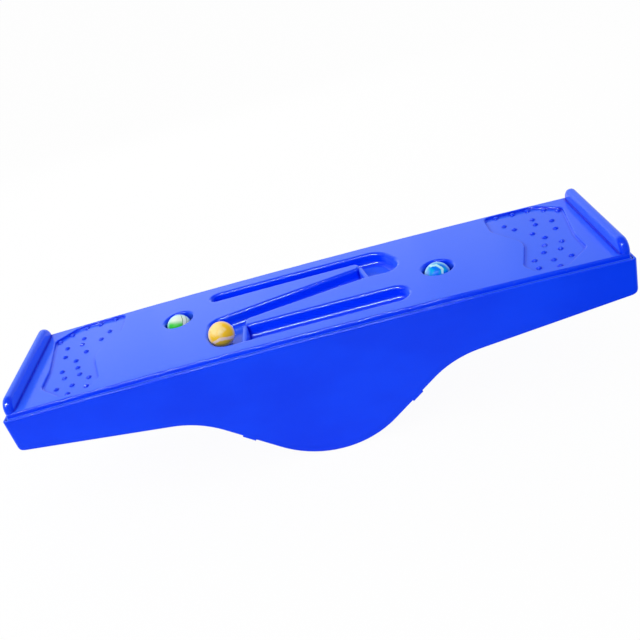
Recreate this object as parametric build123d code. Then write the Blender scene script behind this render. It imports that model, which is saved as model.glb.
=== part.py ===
"""Rocking balance board with a ball maze, in millimetres.

Two mouldings make the board: a hollow rocker shell below and an arched deck panel that drops
inside the shell's wall. Screws in deep bosses hold them together from below, and three loose
balls lie in the deck's maze and cups.

Frame: +X along the board, +Y across it, +Z up. The origin is under the middle of the board, on
the line the rocker stands on.
"""

from build123d import *

import math
import os

# Overall size.
LENGTH = 753.0
WIDTH = 200.0
RIM_HEIGHT = 158.5  # top of the shell's wall at the board's ends
ARCH_RISE = 5.2  # how much higher the rim and the deck are in the middle

# Shell: side view.
ROCKER_RADIUS = 118.0
FLANK_ANGLE = 38.0  # slope of the straight flank beside the rocker
END_DEPTH = 44.0  # end wall, from the rim to the wing's underside
WING_ANGLE = 6.3  # slope of the wing's underside
WING_BLEND = 115.0  # hollow blend between flank and wing
END_ROUND = 9.5  # bottom edge of the end wall
PLAN_ROUND = 4.0  # upright corners
RIM_EDGE_ROUND = 1.2  # outer edge of the rim
WALL = 3.0
DRAFT = 0.5  # of the side walls, degrees

# Shell: raised cross ribs on the flanks, and stiffening ribs inside.
FLANK_RIB_AT = 105.0
FLANK_RIB_WIDTH = 17.0
FLANK_RIB_HEIGHT = 2.0
RIB = 2.5
RIB_CLEARANCE = 5.0  # under the deepest cup
HOOP_HEIGHT = 8.0  # of the low ribs that follow the belly
RIB_LINES = (-48.0, 0.0, 48.0)  # y of the lengthwise ribs
CROSS_RIB_PITCH = 60.0

# Deck panel.
DECK_STEP = 5.5  # deck above the rim
PLATE = 3.5
DECK_RIB = 2.0
DECK_RIB_DEPTH = 10.5  # from the deck's ends down to the bottom of its ribs
SKIRT_CLEARANCE = 0.5  # between the deck's skirt and the shell's wall, at the rim
SKIRT_DEPTH = 8.0  # below the rim at the ends
SKIRT = 2.5
SHOULDER = 1.5  # ledge of the deck panel beside the rim
DECK_CORNER = 4.0
DECK_EDGE_ROUND = 2.5
TUB_WALL = 2.5

# Maze: three lanes between two end pockets.
MAZE_DEPTH = 17.0
RIM_ROUND = 4.5
FLOOR_ROUND = 8.0
MAZE_END = 125.0  # closed end of the far lane and of the near lane
LANE_MARGIN_FAR = 29.1  # from the board's long edge to the far lane's outer wall
LANE_MARGIN_NEAR = 28.0
FAR_LANE_WIDTH = 17.6
NEAR_LANE_CLEARANCE = 2.0  # the near lane is this much wider than a ball
DIAGONAL_FAR_AT = 20.9  # far wall of the diagonal lane where it crosses the middle
DIAGONAL_FAR_ANGLE = 11.5
DIAGONAL_NEAR_AT = -4.7
DIAGONAL_NEAR_ANGLE = 9.9
LAND_TIP = 76.5  # where the lands between the lanes end
LAND_ROUND = 7.5
LIP_WIDTH = 6.5
LIP_DROP = 1.8  # top of a lip under the deck
LIP_BITE = 2.0  # how far a lip's ends run into the walls

# Ball cups.
CUP_X = 168.0
GREEN_CUP_Y = 28.0
BLUE_CUP_Y = -15.0
CUP_CLEARANCE = 3.0  # round the ball
CUP_DEPTH = 26.0
CUP_FLOOR_ROUND = 6.0
CUP_RIM_ROUND = 3.0

# Balls.
BALL_RADIUS = 16.0
YELLOW_GAP = 1.5  # between the yellow ball and the end wall of its pocket
YELLOW_Y = -42.5
GREEN_OFFSET = (-1.5, -1.5)  # how the parked balls lie in their cups
BLUE_OFFSET = (-1.5, -1.0)

# Foot pads.
PAD_FROM_END = 76.5  # from the board's end to where the pad's floor is parallel to the deck
PAD_DEPTH = 3.5
PAD_FLOOR_ROUND = 1.8
PAD_RIM_ROUND = 1.5
PAD_TOE_MARGIN = 9.7  # from the board's long edge to the toes
PAD_HEEL_MARGIN = 14.0
NUB_RADIUS = 3.4
NUB_HEIGHT = 2.8
# Footprint outline on the +X end: x from the pad's middle, y from the heel, and corner radius.
PAD_CORNERS = [
    (-49.0, 177.5, 10.0),
    (-50.0, 133.0, 22.0),
    (-21.5, 81.0, 30.0),
    (-40.0, 22.0, 14.0),
    (-30.0, 0.0, 12.0),
    (4.0, 0.0, 16.0),
    (37.5, 32.0, 16.0),
    (37.0, 72.0, 60.0),
    (49.5, 153.0, 10.0),
    (18.0, 177.5, 24.0),
]
# Nubs, from the toes to the heel: y of the row and the x of each nub in it.
NUB_ROWS = [
    (174.5, (-33.0,)),
    (173.0, (-11.0, 9.0)),
    (163.5, (28.0,)),
    (152.0, (43.0,)),
    (144.0, (-30.0, 7.0)),
    (128.0, (-21.0, 6.0, 27.0)),
    (104.0, (-5.0, 24.0)),
    (86.0, (5.0,)),
    (66.0, (-2.0, 19.0)),
    (48.0, (-8.5, 11.5)),
    (33.5, (-24.0,)),
    (25.0, (-4.0, 16.5)),
    (13.5, (-25.0,)),
    (7.0, (-2.5,)),
]

# End ridges.
RIDGE_HEIGHT = 16.5
RIDGE_WIDTH = 12.0
RIDGE_MARGIN = 6.0  # from the board's long edges to the ridge's ends
RIDGE_TOP_ROUND = 5.6
RIDGE_END_ROUND = 16.0

# Screws and their bosses.
SEAT_DROP = 15.5  # from the deck's ends down to where its bosses stand on the shell's bosses
BOSS_RADIUS = 7.0
DECK_BOSS_RADIUS = 5.0
SCREW_RADIUS = 2.0
SCREW_CLEARANCE = 0.25  # round the shank in the shell's boss
THREAD_CLEARANCE = 0.05
HEAD_RADIUS = 4.0
HEAD_HEIGHT = 2.6
HEAD_CLEARANCE = 0.6
SEAT_FLOOR = 3.0  # plastic between the screw's head and the deck's boss
SCREW_REACH = 11.0  # into the deck's boss
SIDE_SCREW_X = 150.0
SIDE_SCREW_FROM_EDGE = 14.0
WING_SCREW_FROM_EDGE = 34.0
END_SCREW_FROM_END = 14.0
END_SCREW_FROM_EDGE = 40.0

# Derived sizes.
HALF = LENGTH / 2
ARCH_RADIUS = (HALF**2 + ARCH_RISE**2) / (2 * ARCH_RISE)
DECK_END = RIM_HEIGHT + DECK_STEP
DECK_MIDDLE = DECK_END + ARCH_RISE
DECK_INSET = WALL + SKIRT_CLEARANCE
MAZE_FLOOR = DECK_MIDDLE - MAZE_DEPTH
FAR_LANE_Y = WIDTH / 2 - LANE_MARGIN_FAR - FAR_LANE_WIDTH / 2
NEAR_LANE_WIDTH = 2 * BALL_RADIUS + NEAR_LANE_CLEARANCE
NEAR_LANE_Y = LANE_MARGIN_NEAR + NEAR_LANE_WIDTH / 2 - WIDTH / 2
CUP_RADIUS = BALL_RADIUS + CUP_CLEARANCE
PAD_X = HALF - PAD_FROM_END
PAD_HEEL = PAD_HEEL_MARGIN - WIDTH / 2
PAD_STRETCH = (WIDTH / 2 - PAD_TOE_MARGIN - PAD_HEEL) / max(y for x, y, r in PAD_CORNERS)
PAD_INNER = PAD_X + min(x for x, y, r in PAD_CORNERS)
SEAT_HEIGHT = DECK_END - SEAT_DROP
SCREWS_AT = [
    (SIDE_SCREW_X, WIDTH / 2 - SIDE_SCREW_FROM_EDGE),
    ((CUP_X + CUP_RADIUS + PAD_INNER) / 2, WIDTH / 2 - WING_SCREW_FROM_EDGE),
    (HALF - END_SCREW_FROM_END, WIDTH / 2 - END_SCREW_FROM_EDGE),
]
FAR = 2 * LENGTH  # reaches past everything


def arch_drop(x):
    """How far an arch has dropped at x from its height in the middle."""
    return ARCH_RADIUS - math.sqrt(ARCH_RADIUS**2 - x**2)


def deck_height(x):
    """Height of the deck's arched surface above the origin."""
    return DECK_MIDDLE - arch_drop(x)


def rounded_outline(corners):
    """Flat face from (x, y, corner radius) corners, listed counterclockwise."""
    face = Polygon(*[(x, y) for x, y, _ in corners], align=None)
    for x, y, radius in corners:
        if radius > 0:
            corner = face.vertices().sort_by_distance((x, y, 0))[0]
            face = fillet(corner, radius)
    return face


def across(face, half_width=WIDTH):
    """Extrudes a side view, drawn in X and Z, both ways across the board."""
    return extrude(Plane.XZ * face, amount=half_width, both=True)


def under_arch(end_height):
    """Everything below an arch that is end_height high at the board's ends."""
    crest = end_height + ARCH_RISE
    past = HALF + WALL
    low = crest - arch_drop(past)
    arch = ThreePointArc((-past, low), (0, crest), (past, low))
    sides = Polyline((past, low), (past, -HALF), (-past, -HALF), (-past, low))
    return across(make_face([arch, sides]))


def side_view(inset):
    """Side view of the shell, moved in by inset, and left tall at the top."""
    flank = math.radians(FLANK_ANGLE)
    wing = math.radians(WING_ANGLE)
    tip = ROCKER_RADIUS - (ROCKER_RADIUS - inset) / math.cos(flank)
    end = HALF - inset
    end_height = RIM_HEIGHT - END_DEPTH + inset / math.cos(wing) - inset * math.tan(wing)
    slope = math.tan(flank) - math.tan(wing)
    root = (end_height - end * math.tan(wing) - tip) / slope
    root_height = tip + root * math.tan(flank)
    top = 2 * RIM_HEIGHT
    return rounded_outline(
        [
            (0, tip, ROCKER_RADIUS - inset),
            (root, root_height, WING_BLEND + inset),
            (end, end_height, END_ROUND - inset),
            (end, top, 0),
            (-end, top, 0),
            (-end, end_height, END_ROUND - inset),
            (-root, root_height, WING_BLEND + inset),
        ]
    )


def shell_plug(inset):
    """The shell's outside, or its inside when moved in by inset: side view and draft together."""
    lean = math.tan(math.radians(DRAFT))
    low = -RIM_HEIGHT
    high = 2 * RIM_HEIGHT
    crest = RIM_HEIGHT + ARCH_RISE
    half = WIDTH / 2 - inset
    section = Polygon(
        (half + (low - crest) * lean, low),
        (half + (high - crest) * lean, high),
        (-half - (high - crest) * lean, high),
        (-half - (low - crest) * lean, low),
        align=None,
    )
    drafted = extrude(Plane.YZ * section, amount=HALF - inset, both=True)
    corners = drafted.edges().filter_by_position(Axis.X, HALF - inset - 0.01, HALF)
    corners += drafted.edges().filter_by_position(Axis.X, -HALF, inset + 0.01 - HALF)
    corners = [e for e in corners if abs((e @ 1 - e @ 0).Z) > RIM_HEIGHT]
    drafted = fillet(corners, PLAN_ROUND - inset)
    return across(side_view(inset)) & drafted


def mirrored(points):
    """The same points in all four quarters of the board."""
    return [(sx * x, sy * y) for x, y in points for sx in (1, -1) for sy in (1, -1)]


def cylinder(x, y, low, high, radius):
    """Upright cylinder between two heights."""
    return Pos(x, y, low) * extrude(Circle(radius), amount=high - low)


def box(x0, x1, y0, y1, z0, z1):
    """Block between its limits."""
    return Pos((x0 + x1) / 2, (y0 + y1) / 2, (z0 + z1) / 2) * Box(x1 - x0, y1 - y0, z1 - z0)


def flank_ribs():
    """Raised cross ribs on both flanks of the rocker."""
    flank = math.radians(FLANK_ANGLE)
    tip = ROCKER_RADIUS - ROCKER_RADIUS / math.cos(flank)
    middle = (FLANK_RIB_AT, tip + FLANK_RIB_AT * math.tan(flank))
    bar = Pos(*middle) * Rot(0, 0, FLANK_ANGLE) * Rectangle(FLANK_RIB_WIDTH, 2 * FLANK_RIB_HEIGHT)
    bars = across(bar) + across(mirror(bar, Plane.YZ))
    lean = math.tan(math.radians(DRAFT)) * (RIM_HEIGHT + ARCH_RISE - middle[1])
    half = WIDTH / 2 - lean
    return bars & box(-FAR, FAR, -half, half, 0, RIM_HEIGHT)


def cross_ribs():
    """X of the ribs that run across the board."""
    count = int((HALF - CROSS_RIB_PITCH / 2) / CROSS_RIB_PITCH)
    return [step * CROSS_RIB_PITCH for step in range(-count, count + 1)]


def rocker_shell():
    """Lower moulding."""
    inside = shell_plug(WALL)
    outside = shell_plug(0) & under_arch(RIM_HEIGHT)
    outside = fillet(outside.faces().sort_by(Axis.Z)[-1].edges(), RIM_EDGE_ROUND)
    shell = outside - inside + flank_ribs() - inside

    rib_top = deck_height(CUP_X) - CUP_DEPTH - TUB_WALL - RIB_CLEARANCE
    hoop = side_view(WALL / 2) - side_view(WALL + HOOP_HEIGHT)
    hoop -= Pos(0, 2 * RIM_HEIGHT) * Rectangle(LENGTH, 2 * (2 * RIM_HEIGHT - rib_top))
    ribs = Part() + [Pos(0, y, 0) * across(hoop, RIB / 2) for y in RIB_LINES]
    for x in cross_ribs():
        if abs(x) > SIDE_SCREW_X:
            ribs += box(x - RIB / 2, x + RIB / 2, -WIDTH, WIDTH, 0, rib_top)
    for x, y in mirrored(SCREWS_AT):
        ribs += cylinder(x, y, 0, SEAT_HEIGHT, BOSS_RADIUS)
    shell += ribs & shell_plug(WALL / 2)

    for x, y in mirrored(SCREWS_AT):
        shell -= cylinder(x, y, 0, SEAT_HEIGHT - SEAT_FLOOR, HEAD_RADIUS + HEAD_CLEARANCE)
        shell -= cylinder(x, y, 0, RIM_HEIGHT, SCREW_RADIUS + SCREW_CLEARANCE)
    return shell


def diagonal_wall(at, angle, x):
    """Y of one wall of the diagonal lane."""
    return at + x * math.tan(math.radians(angle))


def diagonal_far(x):
    return diagonal_wall(DIAGONAL_FAR_AT, DIAGONAL_FAR_ANGLE, x)


def diagonal_near(x):
    return diagonal_wall(DIAGONAL_NEAR_AT, DIAGONAL_NEAR_ANGLE, x)


def lane(y, width, closed_end, open_end):
    """Straight lane with one round end."""
    radius = width / 2
    turn = closed_end - math.copysign(radius, closed_end)
    middle = (turn + open_end) / 2
    return Pos(turn, y) * Circle(radius) + Pos(middle, y) * Rectangle(abs(open_end - turn), width)


def land_round(x):
    """Largest corner round that the end of a land leaves room for."""
    if x > 0:
        land = FAR_LANE_Y - FAR_LANE_WIDTH / 2 - diagonal_far(x)
    else:
        land = diagonal_near(x) - NEAR_LANE_Y - NEAR_LANE_WIDTH / 2
    return 0.45 * land


def maze_outline():
    """Plan of the maze: far lane, diagonal lane and near lane, joined by a pocket at each end."""
    far_wall = FAR_LANE_Y + FAR_LANE_WIDTH / 2
    near_wall = NEAR_LANE_Y - NEAR_LANE_WIDTH / 2
    right_near = diagonal_near(LAND_TIP)
    right_pocket = rounded_outline(
        [
            (LAND_TIP, right_near, 0),
            (118.5, right_near, 17.0),
            (MAZE_END, 34.0, 28.0),
            (104.0, far_wall, 28.0),
            (LAND_TIP, far_wall, 0),
        ]
    )
    left_pocket = rounded_outline(
        [
            (-LAND_TIP, diagonal_far(-LAND_TIP), 0),
            (3 - MAZE_END, diagonal_far(3 - MAZE_END), 14.0),
            (2 - MAZE_END, -42.0, 28.0),
            (-110.0, near_wall, 25.0),
            (-LAND_TIP, near_wall, 0),
        ]
    )
    past = LAND_TIP + 1
    diagonal = Polygon(
        (-past, diagonal_near(-past)),
        (past, diagonal_near(past)),
        (past, diagonal_far(past)),
        (-past, diagonal_far(-past)),
        align=None,
    )
    plan = lane(FAR_LANE_Y, FAR_LANE_WIDTH, -MAZE_END, past)
    plan += lane(NEAR_LANE_Y, NEAR_LANE_WIDTH, MAZE_END, -past)
    plan += [right_pocket, left_pocket, diagonal]
    tips = [
        (LAND_TIP, FAR_LANE_Y - FAR_LANE_WIDTH / 2),
        (LAND_TIP, diagonal_far(LAND_TIP)),
        (-LAND_TIP, NEAR_LANE_Y + NEAR_LANE_WIDTH / 2),
        (-LAND_TIP, diagonal_near(-LAND_TIP)),
    ]
    for x, y in tips:
        near_tip = plan.vertices().sort_by_distance((x, y, 0))[0]
        plan = fillet(near_tip, min(LAND_ROUND, land_round(x)))
    return plan


def tub(plan, floor, wall):
    """Outside of a tub that is moulded into the deck's underside."""
    return Pos(0, 0, floor - wall) * extrude(offset(plan, wall), amount=DECK_MIDDLE - floor)


def lip(start, end):
    """Round-topped bar across a lane, from one (x, y) to the other."""
    top = DECK_MIDDLE - LIP_DROP
    across_lane = math.dist(start, end)
    turn = math.degrees(math.atan2(end[1] - start[1], end[0] - start[0]))
    height = top - MAZE_FLOOR + 1
    bar = Pos(0, 0, top - height / 2) * Box(across_lane, LIP_WIDTH, height)
    crest = bar.edges().filter_by(Axis.X).sort_by(Axis.Z)[-2:]
    bar = fillet(crest, LIP_WIDTH / 2 - 0.1)
    return Pos((start[0] + end[0]) / 2, (start[1] + end[1]) / 2) * Rot(0, 0, turn) * bar


def end_ridge():
    """Ridge across the +X end of the deck, rolled along its top and down at both ends."""
    low = RIM_HEIGHT - 1
    high = DECK_END + RIDGE_HEIGHT
    outline = Rectangle(WIDTH - 2 * RIDGE_MARGIN, high - low)
    outline = fillet(outline.vertices().group_by(Axis.Y)[-1], RIDGE_END_ROUND)
    bar = extrude(Plane.YZ * outline, amount=RIDGE_WIDTH)
    foot = bar.edges().group_by(Axis.Z)[0]
    sides = bar.faces().filter_by(Axis.X).edges() - foot
    bar = fillet(sides, RIDGE_TOP_ROUND)
    return Pos(HALF - DECK_INSET - RIDGE_WIDTH, 0, (low + high) / 2) * bar


def pad_plane():
    """Plane of the +X foot pad's floor."""
    slope = math.asin(PAD_X / ARCH_RADIUS)
    normal = (math.sin(slope), 0, math.cos(slope))
    origin = (PAD_X, 0, deck_height(PAD_X) - PAD_DEPTH)
    return Plane(origin=origin, x_dir=(math.cos(slope), 0, -math.sin(slope)), z_dir=normal)


def pad_recess(plan):
    """Hollow of a foot pad."""
    recess = extrude(pad_plane() * plan, amount=4 * PAD_DEPTH)
    return fillet(recess.faces().sort_by(Axis.Z)[0].edges(), PAD_FLOOR_ROUND)


def pad_nubs():
    """Domed nubs on the +X foot pad."""
    sink = NUB_RADIUS - NUB_HEIGHT
    nubs = [(x, PAD_HEEL + y * PAD_STRETCH) for y, row in NUB_ROWS for x in row]
    balls = [pad_plane() * Pos(x, y, -sink) * Sphere(NUB_RADIUS) for x, y in nubs]
    return Part() + balls


def both_ends(solid):
    """The same feature at both ends of the board."""
    return solid + mirror(solid, Plane.YZ)


def hollow_rim(panel, x, y):
    """Edges where the hollow that is centred nearest to (x, y) meets the deck."""
    arches = panel.faces().filter_by(GeomType.CYLINDER).sort_by(SortBy.AREA)[-2:]
    rims = arches.sort_by(Axis.Z)[-1].inner_wires()
    centres = [rim.bounding_box().center() for rim in rims]
    nearest = min(range(len(rims)), key=lambda i: math.dist((centres[i].X, centres[i].Y), (x, y)))
    return rims[nearest].edges()


def deck_panel():
    """Upper moulding."""
    length = LENGTH - 2 * DECK_INSET
    width = WIDTH - 2 * DECK_INSET
    low = RIM_HEIGHT - SKIRT_DEPTH
    plan = RectangleRounded(length, width, DECK_CORNER)
    hollow = offset(plan, -SKIRT)
    tall = 4 * (DECK_STEP + ARCH_RISE)
    block = Pos(0, 0, low) * extrude(offset(plan, -SHOULDER), amount=tall) & under_arch(DECK_END)
    block = fillet(block.faces().sort_by(Axis.Z)[-1].edges(), DECK_EDGE_ROUND)
    block += Pos(0, 0, low) * extrude(plan, amount=tall) & under_arch(RIM_HEIGHT)
    inside = Pos(0, 0, low) * extrude(hollow, amount=tall) & under_arch(DECK_END - PLATE)
    panel = block - inside

    pad = rounded_outline([(x, PAD_HEEL + y * PAD_STRETCH, r) for x, y, r in PAD_CORNERS])
    maze = maze_outline()
    cups = [(-CUP_X, GREEN_CUP_Y), (CUP_X, BLUE_CUP_Y)]

    # Tubs, ribs and bosses under the plate.
    under = tub(maze, MAZE_FLOOR, TUB_WALL)
    half_rib = DECK_RIB / 2
    rib_low = DECK_END - DECK_RIB_DEPTH
    for y in RIB_LINES:
        under += box(-length / 2, length / 2, y - half_rib, y + half_rib, rib_low, DECK_MIDDLE)
    for x in cross_ribs():
        under += box(x - half_rib, x + half_rib, -width / 2, width / 2, rib_low, DECK_MIDDLE)
    for x, y in cups:
        floor = deck_height(CUP_X) - CUP_DEPTH - TUB_WALL
        under += cylinder(x, y, floor, DECK_MIDDLE, CUP_RADIUS + TUB_WALL)
    pad_tub = extrude(pad_plane() * offset(pad, TUB_WALL), amount=-PLATE)
    pad_tub += extrude(pad_plane() * offset(pad, TUB_WALL), amount=PAD_DEPTH - 1)
    under += both_ends(pad_tub)
    for x, y in mirrored(SCREWS_AT):
        under += cylinder(x, y, SEAT_HEIGHT, DECK_MIDDLE, DECK_BOSS_RADIUS)
    room = Pos(0, 0, low) * extrude(offset(hollow, SKIRT / 2), amount=tall)
    room += Pos(0, 0, -RIM_HEIGHT) * extrude(hollow, amount=2 * RIM_HEIGHT)
    panel += under & under_arch(DECK_END - PLATE / 2) & room
    panel += both_ends(end_ridge())

    # Hollows.
    hollows = Pos(0, 0, MAZE_FLOOR) * extrude(maze, amount=2 * MAZE_DEPTH)
    hollows = fillet(hollows.faces().sort_by(Axis.Z)[0].edges(), FLOOR_ROUND)
    panel -= hollows
    for x, y in cups:
        floor = deck_height(CUP_X) - CUP_DEPTH
        cup = cylinder(x, y, floor, floor + 2 * CUP_DEPTH, CUP_RADIUS)
        panel -= fillet(cup.edges().sort_by(Axis.Z)[0], CUP_FLOOR_ROUND)
    panel -= both_ends(pad_recess(pad))
    for x, y in mirrored(SCREWS_AT):
        pilot = SCREW_RADIUS + THREAD_CLEARANCE
        panel -= cylinder(x, y, 0, SEAT_HEIGHT + SCREW_REACH + SCREW_RADIUS / 2, pilot)

    # Soft rims.
    panel = fillet(hollow_rim(panel, 0, 0), RIM_ROUND)
    for x, y in cups:
        panel = fillet(hollow_rim(panel, x, y), CUP_RIM_ROUND)
    for x in (-PAD_X, PAD_X):
        panel = fillet(hollow_rim(panel, x, 0), PAD_RIM_ROUND)

    # Lips between the lanes and the pockets, and nubs on the pads.
    left_start = (-LAND_TIP, NEAR_LANE_Y - NEAR_LANE_WIDTH / 2 - LIP_BITE)
    left_end = (-LAND_TIP, NEAR_LANE_Y + NEAR_LANE_WIDTH / 2 + 2 * LIP_BITE)
    panel += lip(left_start, left_end)
    lean = math.radians((DIAGONAL_FAR_ANGLE + DIAGONAL_NEAR_ANGLE) / 2)
    foot = (LAND_TIP + LIP_WIDTH, diagonal_near(LAND_TIP) - LIP_BITE)
    reach = diagonal_far(LAND_TIP) - foot[1] + 2 * LIP_BITE
    panel += lip(foot, (foot[0] - reach * math.tan(lean), foot[1] + reach))
    panel += both_ends(pad_nubs())
    return panel


def screw(x, y):
    """One screw, head down in the shell's boss, shank up into the deck's boss."""
    seat = SEAT_HEIGHT - SEAT_FLOOR
    head = cylinder(x, y, seat - HEAD_HEIGHT, seat, HEAD_RADIUS)
    shank = cylinder(x, y, seat - 1, SEAT_HEIGHT + SCREW_REACH, SCREW_RADIUS)
    return head + shank


def ball(x, y, floor):
    """Ball that rests on a floor at the given height."""
    return Pos(x, y, floor + BALL_RADIUS) * Sphere(BALL_RADIUS)


def build():
    """Every piece of the board, by node name."""
    cup_floor = deck_height(CUP_X) - CUP_DEPTH
    return {
        "rocker_shell": rocker_shell(),
        "deck_panel": deck_panel(),
        "shell_screws": Compound(children=[screw(x, y) for x, y in mirrored(SCREWS_AT)]),
        "ball_yellow": ball(2 - MAZE_END + BALL_RADIUS + YELLOW_GAP, YELLOW_Y, MAZE_FLOOR),
        "ball_green": ball(GREEN_OFFSET[0] - CUP_X, GREEN_OFFSET[1] + GREEN_CUP_Y, cup_floor),
        "ball_blue": ball(BLUE_OFFSET[0] + CUP_X, BLUE_OFFSET[1] + BLUE_CUP_Y, cup_floor),
    }


if __name__ == "__main__":
    os.makedirs("parts", exist_ok=True)
    for name, piece in build().items():
        export_step(piece, f"parts/{name}.step")
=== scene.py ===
import math

import bmesh
import bpy
from bpy.props import FloatProperty, FloatVectorProperty, PointerProperty
from mathutils import Euler, Matrix, Vector


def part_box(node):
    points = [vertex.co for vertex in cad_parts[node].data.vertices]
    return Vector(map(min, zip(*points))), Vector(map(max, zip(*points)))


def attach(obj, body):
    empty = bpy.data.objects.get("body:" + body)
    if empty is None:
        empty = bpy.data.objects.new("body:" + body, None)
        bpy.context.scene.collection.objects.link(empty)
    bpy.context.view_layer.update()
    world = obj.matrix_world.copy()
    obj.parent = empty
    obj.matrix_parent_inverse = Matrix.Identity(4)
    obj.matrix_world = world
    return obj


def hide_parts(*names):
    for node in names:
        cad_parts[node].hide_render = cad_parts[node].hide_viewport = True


bl_info = {
    "name": "Rocking Balance Board",
    "version": (1, 0, 0),
    "blender": (4, 5, 0),
    "location": "View3D > Sidebar > Balance Board",
    "description": "Finishes for a rocking balance board with a ball maze, and its studio",
    "category": "Object",
}

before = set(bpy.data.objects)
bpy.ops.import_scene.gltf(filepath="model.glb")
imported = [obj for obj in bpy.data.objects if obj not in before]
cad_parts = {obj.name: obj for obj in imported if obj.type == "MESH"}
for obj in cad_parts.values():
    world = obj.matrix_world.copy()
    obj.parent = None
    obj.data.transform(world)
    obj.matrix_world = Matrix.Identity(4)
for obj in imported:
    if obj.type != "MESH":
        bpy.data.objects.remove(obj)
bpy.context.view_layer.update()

# ---------------------------------------------------------------------------
# Sizes and colours
# ---------------------------------------------------------------------------


def colour(name, description, value):
    """A colour setting, in linear light."""
    return FloatVectorProperty(
        name=name, description=description, default=value, size=3, min=0.0, max=1.0, subtype="COLOR"
    )


def length(name, description, value, precision=4):
    """A length setting, in metres."""
    return FloatProperty(
        name=name, description=description, default=value, min=0.0, max=1.0, unit="LENGTH",
        precision=precision,
    )


def radians(*degrees):
    """Angles in radians."""
    return tuple(math.radians(angle) for angle in degrees)


def factor(name, description, value):
    """A setting from 0 to 1."""
    return FloatProperty(
        name=name, description=description, default=value, min=0.0, max=1.0, subtype="FACTOR"
    )


class MouldedFinish(bpy.types.PropertyGroup):
    """Moulded plastic of the shell and the deck."""

    plastic: colour("Plastic", "Colour of the moulded plastic", (0.0, 0.042, 0.93))
    cloud: colour("Cloud", "Colour where the pigment is a little richer", (0.0, 0.052, 1.0))
    # Painted reflection: a paler colour mixed in where the skin is seen at a glancing angle, in place
    # of reflected light.
    painted_glancing_sheen: colour("Haze", "Colour of the skin where it is seen along", (0.035, 0.135, 1.0))
    speck: colour("Speck", "Colour of a burnt grain in the plastic", (0.0, 0.004, 0.10))
    # Painted shade: the colour that creases and gaps are darkened to, and how wide a gap must be to
    # escape it.
    crease_shade: colour("Crease", "Colour deep in creases and gaps", (0.0, 0.004, 0.18))
    crease_reach: length("Crease reach", "How wide a gap has to be to look open", 0.014)
    # Painted shade at the feet of raised shapes: its colour, and how far across and out it reaches.
    foot: colour("Foot", "Colour at the foot of studs, ridges and pad edges", (0.0, 0.016, 0.70))
    foot_limit: length("Foot limit", "How far from the board's middle line that shade ends", 0.0935)
    foot_reach: length("Foot reach", "How far the shade at the foot of a raised shape goes", 0.005)
    sheen: colour("Sheen", "Tint of the light that the skin reflects", (0.74, 1.0, 1.0))
    roughness: factor("Roughness", "How dull the moulded skin is", 0.12)
    ior: FloatProperty(
        name="IOR", description="How strongly the skin reflects", default=1.24, min=1.0, max=2.0
    )
    rubbed: factor("Rubbed", "How much duller the rubbed edges and the rocker's line are", 0.20)
    # Painted shade on reflections: faces that look down reflect less, as if the floor below them were
    # shaded.
    below_reflection_shade: factor("Dull below", "How much less the faces that look down reflect", 0.94)
    soft_edge: length("Soft edge", "How wide the shell's edges are softened", 0.002)
    deck_edge: length("Deck edge", "How wide the deck's edges are softened", 0.0008)
    warp: length("Warp", "Depth of the slow waves that cooling leaves in the skin", 0.0006)
    grain: length("Grain", "Depth of the mould's fine grain", 0.00002, precision=5)


class BallFinish(bpy.types.PropertyGroup):
    """Swirled plastic of the three balls."""

    gold: colour("Gold", "Main colour of the yellow ball", (1.0, 0.60, 0.03))
    straw: colour("Straw", "Pale patch of the yellow ball", (1.0, 0.78, 0.30))
    cream: colour("Cream", "Swirl of the yellow ball", (1.0, 0.78, 0.56))
    # Painted light: the lower colour is paler than the gold, to offset the shade under the ball.
    painted_light_lower_gold: colour("Ochre", "Lower colour of the yellow ball", (1.0, 0.66, 0.04))
    chalk: colour("Chalk", "Pale colour of the green ball", (0.80, 0.92, 0.78))
    leaf: colour("Leaf", "Green pool of the green ball", (0.045, 0.62, 0.05))
    moss: colour("Moss", "Thin veins of the green ball", (0.03, 0.22, 0.03))
    azure: colour("Azure", "Main colour of the blue ball", (0.0, 0.20, 0.95))
    ice: colour("Ice", "Swirl of the blue ball", (0.48, 0.84, 0.95))
    teal: colour("Teal", "Patches of the blue ball", (0.0, 0.42, 0.80))
    # Painted reflection: how much paler a ball turns towards its outline, in place of the reflection
    # at glancing angles.
    painted_edge_sheen: factor("Pale edge", "How much paler a ball is where it is seen along", 0.65)
    roughness: factor("Roughness", "How dull the balls are", 0.30)
    ior: FloatProperty(
        name="IOR", description="How strongly the balls reflect", default=1.09, min=1.0, max=2.0
    )


class ScrewSizes(bpy.types.PropertyGroup):
    """Cross-recessed screws that hold the shell and the deck together."""

    head_radius: length("Head radius", "Radius of the pan head", 0.004)
    head_height: length("Head height", "Height of the pan head", 0.0026)
    shank_radius: length("Shank radius", "Radius over the thread", 0.002)
    pitch: length("Pitch", "Distance between two turns of the thread", 0.0014)
    recess: length("Recess", "Width of one arm of the cross recess", 0.0011)


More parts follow.
